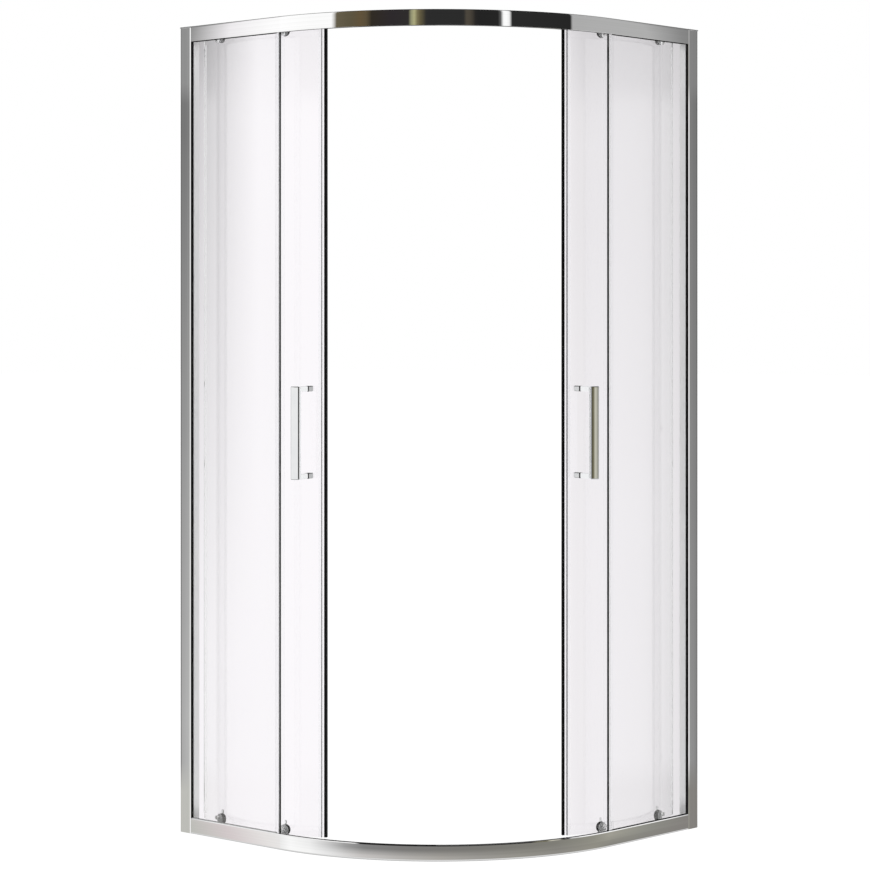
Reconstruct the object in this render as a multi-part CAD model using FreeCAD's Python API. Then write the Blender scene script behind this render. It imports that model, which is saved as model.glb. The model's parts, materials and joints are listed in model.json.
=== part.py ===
import FreeCAD, Part
import math
import os

from FreeCAD import Placement, Rotation, Vector

os.makedirs("parts", exist_ok=True)

# Quadrant shower enclosure, doors standing open. Walls lie on the planes x = -span/2 and y = +span/2,
# the curved front faces +X -Y, and z = 0 is the underside of the bottom rail.

# whole enclosure
span = 870.0  # wall to the outer face of the panel standing off it
height = 1900.0
bend_radius = 535.0  # outer face of the curved front
half = span / 2
bend_x = half - bend_radius
bend_y = bend_radius - half

# glass and soft strips
glass_thick = 6.0
half_glass = glass_thick / 2
strip_gap = 0.1  # rubber to its neighbours
seat_gap = 0.3  # parts that only face each other
spill = 1.0  # a cutter past the face it opens
overlap = 0.5  # joined shapes of one piece into each other
drill_reach = 10.0

# rail extrusion, used both ways up
rail_depth = 31.0
rail_height = 36.0
wall_thin = 1.6
edge_round = 1.5
edge_small_round = 0.5
groove_wide = 8.0
groove_deep = 20.6
groove_back = wall_thin + groove_wide
groove_wall = 1.4
channel_face = groove_back + groove_wall
ledge_under = 11.0
ledge_top = 13.0
lip_thick = 1.2
lip_high = 2.0
web_lip = 1.0
port_reach = 4.0
port_height = 7.5
port_first = 15.0
port_second = 25.0
port_half = 3.5

# post and wall channel
post_width = 37.0
post_stand_off = 1.2
post_web_start = 20.0
post_web_end = 22.0
cap_thick = 2.0
cap_plug_deep = 8.0
cap_plug_clearance = 0.5
post_top = height - cap_thick
channel_wide = 19.0
channel_thick = 1.5
channel_clearance = 0.7
channel_short = 1.0
slot_wide = 5.0
slot_long = 14.0
fixing_low = 100.0
fixing_high = height - fixing_low
fixing_middle = height / 2

# small screws of the frame
screw_diameter = 4.0
screw_play = 0.1
screw_head = 6.8
screw_head_thick = 2.6
rail_screw_long = 18.0
side_screw_in = 11.0
side_screw_long = 9.0
side_screw_low = 160.0
side_drill_deep = 6.0
cover_diameter = 12.0
cover_thick = 4.6
cover_wall = 1.2
cover_round = 1.2

# fixed glass
fixed_stop_short = 5.0  # short of where the bend starts
fixed_in_post = 24.0
fixed_in_rail = 19.0
fixed_middle = wall_thin + groove_wide / 2
gasket_wall = 0.8
gasket_base = 0.3
gasket_lip = 1.5
post_gasket_lip = 3.2
seal_wall = 1.0
seal_hold = 9.0
seal_fin = 20.0
seal_fin_thick = 1.2
seal_fin_lean = 8.0
seal_fin_root = 0.3
seal_round = 0.8

# sliding door, measured along the glass from the closing face
door_inset = 50.5  # middle of the door glass behind the outer face
door_radius = bend_radius - door_inset
door_long = 404.0
door_bottom = 24.0
door_top = height - rail_height + 14.0
magnet_gap = 0.3
magnet_long = 6.5
magnet_thick = 9.0
carrier_long = 20.0
carrier_wall = 1.2
carrier_nose = 1.8
rear_hold = 10.0
rear_fin = 14.0
rear_fin_overlap = 0.2
rear_seal_short = 2.0
strip_short = 1.0
roller_front = 112.0
roller_pitch = 212.0  # straight between the two roller holes
open_run = 38.0  # front roller past the bend when the door is open

# rollers
wheel_diameter = 16.0
wheel_wide = 4.0
wheel_gap = 0.3
wheel_chamfer = 0.4
wheel_bore_play = 0.05
axle_radius = 2.3
axle_shoulder = 3.2
axle_head = 3.6
axle_head_thick = 1.0
axle_side_play = 0.25
front_wheel_out = door_inset - 15.6
rear_wheel_out = door_inset - 25.8
top_hole = height - rail_height + 4.5
bottom_hole = rail_height + 2.0
top_axle = height - rail_height + ledge_top + wheel_gap + wheel_diameter / 2
bottom_axle = rail_height - ledge_top - wheel_gap - wheel_diameter / 2
hole_play = 1.5
bolt_radius = 2.5
bolt_head = 5.0
bolt_head_thick = 2.4
bolt_reach = 3.8
bolt_play = 0.1
bolt_end_room = 0.5
housing_bolt_room = 0.2
washer_thick = 1.0
washer_radius = 7.0
bracket_thick = 2.5
bracket_half = 7.0
bracket_top = 6.0
bracket_low_round = 6.8
bracket_top_round = 5.5
disc_radius = 12.5
disc_thick = 9.0
disc_round = 1.5
cap_lift = 5.5  # the top cap sits off its bolt, as on an eccentric roller

# quick release of the bottom rollers
housing_thick = 11.0
rod_radius = 1.75
rod_play = 0.05
rod_back = 11.6
bore_radius = 2.8
bore_floor = 30.0
button_radius = 2.65
button_low = 45.0
button_top = bottom_hole + disc_radius + 4.0
button_round = 0.8
foot_half = 4.0
foot_top = 18.2
foot_low = 11.0
foot_front = 8.5
foot_back = 15.0
foot_round = 1.2
spring_wire = 0.5
spring_radius = 2.25
spring_turns = 7
spring_gap = 0.3

# handle
handle_back = 52.5
handle_middle = height / 2
handle_pitch = 200.0
post_side = 13.0
handle_reach = 44.0
bar_thick = 12.0
bar_wide = 22.0
bar_round = 2.5
handle_screw_radius = 3.0
handle_screw_in = 14.0
handle_head_radius = 4.5
handle_head_thick = 3.8
handle_cap_long = 24.0
handle_cap_bore = 4.8

# end stops in the rails
stop_long = 8.0
stop_gap = 0.8
stop_play = 0.1
stop_round = 1.0


def box(x0, x1, y0, y1, z0, z1):
    return Part.makeBox(x1 - x0, y1 - y0, z1 - z0, Vector(x0, y0, z0))


def rod(radius, start, end):
    run = end.sub(start)
    return Part.makeCylinder(radius, run.Length, start, run)


def unit(x, y):
    size = math.hypot(x, y)
    return x / size, y / size


def outline(corners):
    """A closed flat wire through (u, v, rounding) corners."""
    edges = []
    ends = []
    count = len(corners)
    for i in range(count):
        u, v, r = corners[i]
        before = corners[i - 1]
        after = corners[(i + 1) % count]
        ax, ay = unit(before[0] - u, before[1] - v)
        bx, by = unit(after[0] - u, after[1] - v)
        if r == 0:
            ends.append((Vector(u, v, 0), None, Vector(u, v, 0)))
            continue
        half_turn = math.acos(max(-1.0, min(1.0, ax * bx + ay * by))) / 2
        back = r / math.tan(half_turn)
        mx, my = unit(ax + bx, ay + by)
        deep = r / math.sin(half_turn) - r
        first = Vector(u + ax * back, v + ay * back, 0)
        middle = Vector(u + mx * deep, v + my * deep, 0)
        last = Vector(u + bx * back, v + by * back, 0)
        ends.append((first, middle, last))
    for i in range(count):
        first, middle, last = ends[i]
        if middle is not None:
            edges.append(Part.Arc(first, middle, last).toShape())
        following = ends[(i + 1) % count][0]
        if last.distanceToPoint(following) > 1e-6:
            edges.append(Part.makeLine(last, following))
    return Part.Wire(edges)


def flat(corners):
    return Part.Face(outline(corners))


def patch(u0, u1, v0, v1, r=0):
    return flat([(u0, v0, r), (u1, v0, r), (u1, v1, r), (u0, v1, r)])


def disc(u, v, r):
    return Part.Face(Part.Wire(Part.makeCircle(r, Vector(u, v, 0))))


def mirrored(shape):
    """The same piece on the other panel."""
    return shape.mirror(Vector(0, 0, 0), Vector(1, 1, 0))


def save(name, shapes):
    """Write one node: a single solid, or a group of separate ones."""
    if not isinstance(shapes, list):
        shapes = [shapes]
    solids = []
    for shape in shapes:
        solids.extend(shape.Solids)
    node = solids[0] if len(solids) == 1 else Part.makeCompound(solids)
    if not node.isValid():
        raise ValueError(name + " is not a sound shape")
    node.exportStep("parts/" + name + ".step")
    print(name, len(solids))


def save_pair(name, shapes):
    """Write the left piece and its mirror image on the right."""
    if not isinstance(shapes, list):
        shapes = [shapes]
    save(name + "_left", shapes)
    save(name + "_right", [mirrored(shape) for shape in shapes])


# ---- rails ----

def rail_section():
    """Section of the rail: u runs inward from the outer face, v up from the door side edge."""
    body = flat([
        (0, 0, edge_small_round),
        (rail_depth, 0, 0),
        (rail_depth, rail_height, edge_round),
        (0, rail_height, edge_round),
    ])
    lip_face = rail_depth - lip_thick
    beyond = rail_depth + spill
    web_under = rail_height - wall_thin
    holes = [
        patch(wall_thin, groove_back, -spill, groove_deep),
        patch(channel_face, lip_face, ledge_top, web_under),
        patch(lip_face - overlap, beyond, ledge_top + lip_high, web_under - web_lip),
        patch(channel_face, beyond, -spill, port_reach),
        patch(port_first + port_half, port_second - port_half, port_reach - overlap, ledge_under),
        patch(port_second + port_half, beyond, port_reach - overlap, ledge_under),
        disc(port_first, port_height, (screw_diameter + screw_play) / 2),
        disc(port_second, port_height, (screw_diameter + screw_play) / 2),
    ]
    for hole in holes:
        body = body.cut(hole)
    return body.Faces[0]


def rail():
    """Straight, bend, straight, in one length of extrusion."""
    section = rail_section()
    section.Placement = Placement(Vector(bend_x, -half, 0), Rotation(Vector(1, 1, 1), 120))
    start = -half + post_width + seat_gap
    straight = section.extrude(Vector(start - bend_x, 0, 0))
    bend = section.revolve(Vector(bend_x, bend_y, 0), Vector(0, 0, 1), 90)
    return bend.fuse([straight, mirrored(straight)]).removeSplitter()


def flipped(shape):
    """Turn a top rail piece over into its place on the bottom."""
    return shape.mirror(Vector(0, 0, height / 2), Vector(0, 0, 1))


top_rail = rail()
top_rail.translate(Vector(0, 0, height - rail_height))
bottom_rail = flipped(top_rail)
save("top_rail", top_rail)
save("bottom_rail", bottom_rail)


# ---- posts, wall channels and their fixings, left panel ----

def upright(section, low, high):
    """Stand a section up: u is the distance from the wall, v runs inward."""
    piece = section.extrude(Vector(0, 0, high - low))
    piece.translate(Vector(-half, -half, low))
    return piece


post_section = flat([
    (post_stand_off, 0, 0),
    (post_width, 0, edge_round),
    (post_width, rail_depth, edge_round),
    (post_stand_off, rail_depth, 0),
])
post_hollows = [
    patch(0, post_web_start, wall_thin, rail_depth - wall_thin),
    patch(post_web_end, post_width + spill, wall_thin, groove_back),
    patch(post_web_end, post_width - wall_thin, channel_face, rail_depth - wall_thin),
]
for hollow in post_hollows:
    post_section = post_section.cut(hollow)
post = upright(post_section.Faces[0], 0, post_top)

leg_out = wall_thin + channel_clearance
leg_in = rail_depth - leg_out
channel_section = patch(0, channel_wide, leg_out, leg_in)
channel_hollow = patch(channel_thick, channel_wide + spill, leg_out + channel_thick, leg_in - channel_thick)
channel = upright(channel_section.cut(channel_hollow).Faces[0], 0, post_top - channel_short)

slot_middle = rail_depth / 2
for level in (fixing_low, fixing_middle, fixing_high):
    slot = patch(-slot_wide / 2, slot_wide / 2, -slot_long / 2, slot_long / 2, slot_wide / 2)
    cutter = slot.extrude(Vector(0, 0, channel_thick + 2 * spill))
    behind = Vector(-half - spill, -half + slot_middle, level)
    cutter.Placement = Placement(behind, Rotation(Vector(1, 1, 1), 120))
    channel = channel.cut(cutter)

side_screws = []
side_covers = []
face_in = -half + rail_depth
for level in (side_screw_low, fixing_middle, height - side_screw_low):
    x = -half + side_screw_in
    hole = rod((screw_diameter + screw_play) / 2, Vector(x, face_in + spill, level),
               Vector(x, face_in - side_drill_deep, level))
    post = post.cut(hole)
    channel = channel.cut(hole)
    shank = rod(screw_diameter / 2, Vector(x, face_in, level), Vector(x, face_in - side_screw_long, level))
    head = rod(screw_head / 2, Vector(x, face_in, level), Vector(x, face_in + screw_head_thick, level))
    side_screws.append(shank.fuse(head))
    lid = rod(cover_diameter / 2, Vector(x, face_in, level), Vector(x, face_in + cover_thick, level))
    rim = [edge for edge in lid.Edges if edge.CenterOfMass.y > face_in + cover_thick - spill]
    lid = lid.makeFillet(cover_round, rim)
    inside = rod(cover_diameter / 2 - cover_wall, Vector(x, face_in - spill, level),
                 Vector(x, face_in + cover_thick - cover_wall, level))
    side_covers.append(lid.cut(inside))

rail_screws = []
for n in (port_first, port_second):
    for level in (height - rail_height + port_height, rail_height - port_height):
        y = -half + n
        x = -half + post_width - wall_thin
        hole = rod((screw_diameter + screw_play) / 2, Vector(x - spill, y, level),
                   Vector(x + wall_thin + spill, y, level))
        post = post.cut(hole)
        shank = rod(screw_diameter / 2, Vector(x, y, level), Vector(x + rail_screw_long, y, level))
        head = rod(screw_head / 2, Vector(x - screw_head_thick, y, level), Vector(x, y, level))
        rail_screws.append(shank.fuse(head))

save_pair("frame_post", post)
save_pair("wall_channel", channel)
save("side_screws", side_screws + [mirrored(piece) for piece in side_screws])
save("side_screw_covers", side_covers + [mirrored(piece) for piece in side_covers])
save("rail_end_screws", rail_screws + [mirrored(piece) for piece in rail_screws])

cap_section = flat([
    (post_stand_off, 0, 0),
    (post_width, 0, edge_round),
    (post_width, rail_depth, edge_round),
    (post_stand_off, rail_depth, 0),
])
cap_top = upright(cap_section, post_top, height)
plug_section = patch(
    post_web_end + cap_plug_clearance, post_width - wall_thin - cap_plug_clearance,
    channel_face + cap_plug_clearance, rail_depth - wall_thin - cap_plug_clearance,
)
cap = cap_top.fuse(upright(plug_section, post_top - cap_plug_deep, post_top))
save("post_caps", [cap, mirrored(cap)])


# ---- fixed glass with its gaskets and edge seal, left panel ----

fixed_edge = half + bend_x - fixed_stop_short
fixed_low = rail_height - fixed_in_rail
fixed_high = height - fixed_low
fixed_out = fixed_middle - half_glass
fixed_in = fixed_middle + half_glass
fixed = upright(patch(fixed_in_post, fixed_edge, fixed_out, fixed_in), fixed_low, fixed_high)
save_pair("fixed_glass", fixed)

gasket_out = fixed_out - strip_gap - gasket_wall
gasket_in = fixed_in + strip_gap + gasket_wall
lip_end = rail_height + gasket_lip
base_end = fixed_low - strip_gap
rail_gasket_section = patch(gasket_out, gasket_in, base_end - gasket_base, lip_end)
rail_gasket_section = rail_gasket_section.cut(
    patch(gasket_out + gasket_wall, gasket_in - gasket_wall, base_end, lip_end + spill))
rail_gasket = rail_gasket_section.Faces[0]
rail_gasket.Placement = Placement(
    Vector(-half + post_width + post_gasket_lip + seat_gap, -half, 0), Rotation(Vector(1, 1, 1), 120))
gasket_run = fixed_edge - seal_hold - post_width - post_gasket_lip - 3 * seat_gap
bottom_gasket = rail_gasket.extrude(Vector(gasket_run, 0, 0))
top_gasket = flipped(bottom_gasket)
save_pair("rail_gaskets", [top_gasket, bottom_gasket])

post_gasket_section = patch(post_web_end + seat_gap, post_width + post_gasket_lip, gasket_out, gasket_in)
post_gasket_hollow = patch(
    fixed_in_post - strip_gap, post_width + post_gasket_lip + spill,
    gasket_out + gasket_wall, gasket_in - gasket_wall,
)
clear_low = rail_height + seat_gap
clear_high = height - clear_low
post_gasket = upright(post_gasket_section.cut(post_gasket_hollow).Faces[0], clear_low, clear_high)
save_pair("post_gasket", post_gasket)

seal_out = fixed_out - strip_gap - seal_wall
seal_in = fixed_in + strip_gap + seal_wall
seal_nose = fixed_edge + strip_gap + seal_wall
edge_section = flat([
    (fixed_edge - seal_hold, seal_out, 0),
    (seal_nose, seal_out, seal_round),
    (seal_nose, seal_in, 0),
    (seal_nose - seal_fin_lean, seal_in + seal_fin, 0),
    (seal_nose - seal_fin_lean - seal_fin_thick, seal_in + seal_fin, 0),
    (seal_nose - seal_fin_thick - seal_fin_root, seal_in, 0),
    (fixed_edge - seal_hold, seal_in, 0),
])
edge_hollow = patch(
    fixed_edge - seal_hold - spill, fixed_edge + strip_gap,
    fixed_out - strip_gap, fixed_in + strip_gap,
)
seal_low = rail_height + gasket_lip + seat_gap
edge_seal = upright(edge_section.cut(edge_hollow).Faces[0], seal_low, height - seal_low)
save_pair("edge_seal", edge_seal)


# ---- where the left door stands, shut and open ----

def bearing(along):
    """Direction from the bend's centre to a point this far along the shut door."""
    return -math.pi / 4 - along / door_radius


pitch_along = 2 * door_radius * math.asin(roller_pitch / 2 / door_radius)
roller_rear = roller_front + pitch_along


def turned(x, y, angle):
    return x * math.cos(angle) - y * math.sin(angle), x * math.sin(angle) + y * math.cos(angle)


shut_front_x = bend_x + door_radius * math.cos(bearing(roller_front))
shut_front_y = bend_y + door_radius * math.sin(bearing(roller_front))
open_front_x = bend_x - open_run
open_front_y = bend_y - door_radius
chord_bearing = (bearing(roller_front) + bearing(roller_rear)) / 2
swing = -math.pi / 2 - chord_bearing
move_x = open_front_x - shut_front_x
move_y = open_front_y - shut_front_y
pole_reach = 1 / (2 * math.tan(swing / 2))
pole_x = (shut_front_x + open_front_x) / 2 - move_y * pole_reach
pole_y = (shut_front_y + open_front_y) / 2 + move_x * pole_reach
print("door pole", pole_x, pole_y, "swing", swing)


def opened(shape):
    """Swing a piece of the shut door to where the open door stands."""
    moved = shape.copy()
    moved.rotate(Vector(pole_x, pole_y, 0), Vector(0, 0, 1), math.degrees(swing))
    return moved


def on_door(shape, along):
    """Place a piece drawn with x along the door to its rear, y outward from the middle of the glass."""
    moved = shape.copy()
    angle = bearing(along)
    base = Vector(bend_x + door_radius * math.cos(angle), bend_y + door_radius * math.sin(angle), 0)
    facing = Placement(base, Rotation(Vector(0, 0, 1), math.degrees(angle) - 90))
    moved.Placement = facing.multiply(moved.Placement)
    return opened(moved)


def curved(out0, out1, along0, along1):
    """Flat face between two radii and two distances along the shut door."""
    def point(out, along):
        angle = bearing(along)
        radius = door_radius + out
        return Vector(bend_x + radius * math.cos(angle), bend_y + radius * math.sin(angle), 0)

    middle = (along0 + along1) / 2
    edges = [
        Part.Arc(point(out0, along0), point(out0, middle), point(out0, along1)).toShape(),
        Part.makeLine(point(out0, along1), point(out1, along1)),
        Part.Arc(point(out1, along1), point(out1, middle), point(out1, along0)).toShape(),
        Part.makeLine(point(out1, along0), point(out0, along0)),
    ]
    return Part.Face(Part.Wire(edges))


def tall(face, low, high):
    piece = face.extrude(Vector(0, 0, high - low))
    piece.translate(Vector(0, 0, low))
    return opened(piece)


def across(radius, level, out0, out1, side=0.0):
    """A round bar lying square to the door glass."""
    return rod(radius, Vector(side, out0, level), Vector(side, out1, level))


rollers = (roller_front, roller_rear)
handle_levels = (handle_middle - handle_pitch / 2, handle_middle + handle_pitch / 2)

# door glass and the strips on its edges
glass_start = magnet_long + carrier_nose + strip_gap
glass_end = door_long - seal_wall - strip_gap
door_glass = tall(curved(-half_glass, half_glass, glass_start, glass_end), door_bottom, door_top)
for along in rollers:
    for level in (top_hole, bottom_hole):
        hole = across(bolt_radius + hole_play, level, -drill_reach, drill_reach)
        door_glass = door_glass.cut(on_door(hole, along))
for level in handle_levels:
    hole = across(handle_screw_radius + hole_play, level, -drill_reach, drill_reach)
    door_glass = door_glass.cut(on_door(hole, handle_back))
save_pair("door_glass", door_glass)

strip_low = door_bottom + strip_short
strip_high = door_top - strip_short
magnet_face = curved(-magnet_thick / 2, magnet_thick / 2, magnet_gap, magnet_long - strip_gap)
save_pair("magnet_strip", tall(magnet_face, strip_low, strip_high))

carrier_side = half_glass + strip_gap + carrier_wall
carrier_face = curved(-carrier_side, carrier_side, magnet_long, carrier_long)
glass_room = half_glass + strip_gap
carrier_hollow = curved(-glass_room, glass_room, glass_start - strip_gap, carrier_long + spill)
save_pair("magnet_carrier", tall(carrier_face.cut(carrier_hollow).Faces[0], strip_low, strip_high))

rear_side = half_glass + strip_gap + seal_wall
rear_face = curved(-rear_side, rear_side, door_long - rear_hold, door_long)
rear_hollow = curved(-glass_room, glass_room, door_long - rear_hold - spill, door_long - seal_wall)
fin = curved(rear_side - rear_fin_overlap, rear_side + rear_fin, door_long - seal_fin_thick, door_long)
rear_face = rear_face.cut(rear_hollow).fuse(fin).removeSplitter()
save_pair("rear_seal", tall(rear_face.Faces[0], clear_low + rear_seal_short, clear_high - rear_seal_short))

# handle outside, screw caps inside
handle_low = half_glass + washer_thick + 2 * strip_gap
bar_low = handle_low + handle_reach
bar = box(-bar_wide / 2, bar_wide / 2, bar_low, bar_low + bar_thick,
          handle_levels[0] - post_side / 2, handle_levels[1] + post_side / 2)
bar = bar.makeFillet(bar_round, bar.Edges)
handle_screws = []
handle_caps = []
for level in handle_levels:
    stem = box(-post_side / 2, post_side / 2, handle_low, bar_low + bar_thick / 2,
               level - post_side / 2, level + post_side / 2)
    upright_edges = [edge for edge in stem.Edges if abs(edge.tangentAt(edge.FirstParameter).y) > 0.9]
    bar = bar.fuse(stem.makeFillet(bar_round, upright_edges))
for level in handle_levels:
    thread_end = handle_low + handle_screw_in + spill
    thread = across(handle_screw_radius + bolt_play / 2, level, handle_low - spill, thread_end)
    bar = bar.cut(thread)
    shank = across(handle_screw_radius, level, -handle_low, handle_low + handle_screw_in)
    head = across(handle_head_radius, level, -handle_low - handle_head_thick, -handle_low)
    handle_screws.append(on_door(shank.fuse(head), handle_back))
    lid = box(-post_side / 2, post_side / 2, -handle_low - handle_cap_long, -handle_low,
              level - post_side / 2, level + post_side / 2)
    far_edges = [edge for edge in lid.Edges if edge.CenterOfMass.y < -handle_low - spill]
    lid = lid.makeFillet(bar_round, far_edges)
    room = across(handle_cap_bore, level, -handle_low - handle_head_thick - seat_gap, -handle_low + spill)
    handle_caps.append(on_door(lid.cut(room), handle_back))
save_pair("handle", on_door(bar.removeSplitter(), handle_back))
save_pair("handle_screws", handle_screws)
save_pair("handle_caps", handle_caps)

# top rollers: bracket and wheel outside the glass, disc inside
plate_low = handle_low
plate_high = plate_low + bracket_thick
brackets = []
roller_bolts = []
top_caps = []
washers = []


def bored(shape, radius, level, out0, out1):
    return shape.cut(across(radius, level, out0, out1))


def washer(level, inner, outer, side, thick=washer_thick):
    near = half_glass + strip_gap
    ring = across(outer, level, side * near, side * (near + thick))
    return bored(ring, inner, level, side * (near - spill), side * (near + thick + spill))


def axle_end(start, wheel_out, level):
    """Shoulder, journal and riveted head that carry one wheel."""
    near = wheel_out - wheel_wide / 2 - axle_side_play
    far = wheel_out + wheel_wide / 2 + axle_side_play
    shoulder = across(axle_shoulder, level, start, near)
    journal = across(axle_radius, level, near - overlap, far + overlap)
    head = across(axle_head, level, far, far + axle_head_thick)
    return shoulder.fuse([journal, head])


def wheel(wheel_out, level):
    near = wheel_out - wheel_wide / 2
    far = wheel_out + wheel_wide / 2
    tread = across(wheel_diameter / 2, level, near, far)
    tread = tread.makeChamfer(wheel_chamfer, [edge for edge in tread.Edges if edge.Closed])
    return bored(tread, axle_radius + wheel_bore_play, level, near - spill, far + spill)


for along, wheel_out in zip(rollers, (front_wheel_out, rear_wheel_out)):
    plate_section = flat([
        (-bracket_half, top_hole - bracket_half, bracket_low_round),
        (bracket_half, top_hole - bracket_half, bracket_low_round),
        (bracket_half, top_axle + bracket_top, bracket_top_round),
        (-bracket_half, top_axle + bracket_top, bracket_top_round),
    ])
    plate = plate_section.extrude(Vector(0, 0, -bracket_thick))
    plate.Placement = Placement(Vector(0, plate_low, 0), Rotation(Vector(1, 0, 0), 90))
    plate = bored(plate, bolt_radius + bolt_play, top_hole, plate_low - spill, plate_high + spill)
    brackets.append(on_door(plate.fuse(axle_end(plate_high - overlap, wheel_out, top_axle)), along))
    for level in (top_hole, bottom_hole):
        shank = across(bolt_radius, level, plate_high, -plate_low - bolt_reach)
        head = across(bolt_head, level, plate_high, plate_high + bolt_head_thick)
        roller_bolts.append(on_door(shank.fuse(head), along))
    cap = across(disc_radius, top_hole + cap_lift, -plate_low, -plate_low - disc_thick)
    rim = [edge for edge in cap.Edges if edge.Closed and edge.CenterOfMass.y < -plate_low - spill]
    cap = cap.makeFillet(disc_round, rim)
    blind_end = -plate_low - bolt_reach - bolt_end_room
    cap = bored(cap, bolt_radius + bolt_play, top_hole, -plate_low + spill, blind_end)
    top_caps.append(on_door(cap, along))
    for level, side, thick in (
        (top_hole, 1, washer_thick),
        (top_hole, -1, washer_thick),
        (bottom_hole, 1, washer_thick + bracket_thick),
        (bottom_hole, -1, washer_thick),
    ):
        washers.append(on_door(washer(level, bolt_radius + bolt_play, washer_radius, side, thick), along))
for level in handle_levels:
    for side in (1, -1):
        ring = washer(level, handle_screw_radius + bolt_play, post_side / 2, side)
        washers.append(on_door(ring, handle_back))

save_pair("top_roller_brackets", brackets)
save_pair("roller_bolts", roller_bolts)
save_pair("top_roller_caps", top_caps)
save_pair("glass_washers", washers)

# bottom rollers: sprung slider in a round housing inside the glass
housings = []
coil_low = bore_floor + spring_gap + spring_wire / 2
coil_high = button_low - spring_gap - spring_wire / 2
half_rise = (coil_high - coil_low) / (2 * spring_turns)


def bow(start, corner, end):
    """The arc that leaves start towards corner and reaches end away from it."""
    middle = (start + end) * 0.5
    lean = math.acos(start.distanceToPoint(middle) / start.distanceToPoint(corner))
    top = middle + (corner - middle) * (math.tan(lean / 2) / math.tan(lean))
    return Part.Arc(start, top, end).toShape()


def half_coil():
    """Half a turn of the spring: two arcs that share a tangent where they meet."""
    climb = math.atan(half_rise / (math.pi * spring_radius))
    up = math.sin(climb)
    level = math.cos(climb)
    wide = 4 * spring_radius ** 2 + half_rise ** 2
    reach = (math.sqrt((half_rise * up) ** 2 + wide * level ** 2) - half_rise * up) / (2 * level ** 2)
    start = Vector(spring_radius, 0, 0)
    end = Vector(-spring_radius, 0, half_rise)
    first = Vector(spring_radius, reach * level, reach * up)
    second = Vector(-spring_radius, reach * level, half_rise - reach * up)
    meeting = (first + second) * 0.5
    return [bow(start, first, meeting), bow(meeting, second, end)]


def coil_spring():
    """Round wire swept along the half turns, one above the other."""
    edges = []
    for count in range(2 * spring_turns):
        for edge in half_coil():
            edge.rotate(Vector(0, 0, 0), Vector(0, 0, 1), 180 * count)
            edge.translate(Vector(0, 0, half_rise * count))
            edges.append(edge)
    path = Part.Wire(edges)
    heading = edges[0].tangentAt(edges[0].FirstParameter)
    ring = Part.Wire(Part.makeCircle(spring_wire / 2, Vector(spring_radius, 0, 0), heading))
    return path.makePipeShell([ring], True, False)


for place, along, wheel_out in zip(("front", "rear"), rollers, (front_wheel_out, rear_wheel_out)):
    housing = across(disc_radius, bottom_hole, -plate_low, -plate_low - housing_thick)
    rim = [edge for edge in housing.Edges if edge.Closed and edge.CenterOfMass.y < -plate_low - spill]
    housing = housing.makeFillet(disc_round, rim)
    blind_end = -plate_low - bolt_reach - housing_bolt_room
    housing = bored(housing, bolt_radius + bolt_play, bottom_hole, -plate_low + spill, blind_end)
    well = Part.makeCylinder(bore_radius, disc_radius * 2, Vector(0, -rod_back, bore_floor))
    guide_low = bore_floor - disc_radius + overlap
    guide = Part.makeCylinder(rod_radius + rod_play, disc_radius, Vector(0, -rod_back, guide_low))
    housings.append(on_door(housing.cut(well).cut(guide), along))

    stem_low = foot_top - overlap
    stem = Part.makeCylinder(rod_radius, button_low + overlap - stem_low, Vector(0, -rod_back, stem_low))
    button = Part.makeCylinder(button_radius, button_top - button_low, Vector(0, -rod_back, button_low))
    top_edge = [edge for edge in button.Edges if edge.Closed and edge.CenterOfMass.z > button_top - overlap]
    button = button.makeFillet(button_round, top_edge)
    foot = box(-foot_half, foot_half, -foot_back, -foot_front, foot_low, foot_top)
    foot_edges = [edge for edge in foot.Edges if abs(edge.tangentAt(edge.FirstParameter).y) > 0.9]
    foot = foot.makeFillet(foot_round, foot_edges)
    slider = foot.fuse([stem, button, axle_end(-foot_front - overlap, wheel_out, bottom_axle)])
    save_pair("release_slider_" + place, on_door(slider, along))

    coil = coil_spring()
    coil.translate(Vector(0, -rod_back, coil_low))
    save_pair("slider_spring_" + place, on_door(coil, along))

    save_pair("top_wheel_" + place, on_door(wheel(wheel_out, top_axle), along))
    save_pair("bottom_wheel_" + place, on_door(wheel(wheel_out, bottom_axle), along))

save_pair("bottom_roller_housings", housings)


# ---- end stops at the posts ----

def open_spot(along, out):
    """Place in the plan that a point of the shut door takes when the door is open."""
    angle = bearing(along)
    x = bend_x + (door_radius + out) * math.cos(angle) - pole_x
    y = bend_y + (door_radius + out) * math.sin(angle) - pole_y
    dx, dy = turned(x, y, swing)
    return pole_x + dx, pole_y + dy


wheel_x, wheel_y = open_spot(roller_rear, rear_wheel_out)
stop_face = wheel_x - wheel_diameter / 2 - stop_gap
rail_low = height - rail_height
top_stop = box(
    stop_face - stop_long, stop_face,
    -half + channel_face + seat_gap, -half + rail_depth - lip_thick - seat_gap,
    rail_low + ledge_top + stop_play, rail_low + rail_height - wall_thin - stop_play,
)
upright_edges = [edge for edge in top_stop.Edges if abs(edge.tangentAt(edge.FirstParameter).z) > 0.9]
top_stop = top_stop.makeFillet(stop_round, upright_edges)
stops = [top_stop, flipped(top_stop)]
save("door_stops", stops + [mirrored(piece) for piece in stops])

for name, along, out in (
    ("front", roller_front, front_wheel_out),
    ("rear", roller_rear, rear_wheel_out),
):
    x, y = open_spot(along, out)
    print(name, "wheel", x, y, "reach", math.hypot(x - pole_x, y - pole_y))
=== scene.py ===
import json
import math

import bmesh
import bpy
from mathutils import Matrix, Vector


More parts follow.
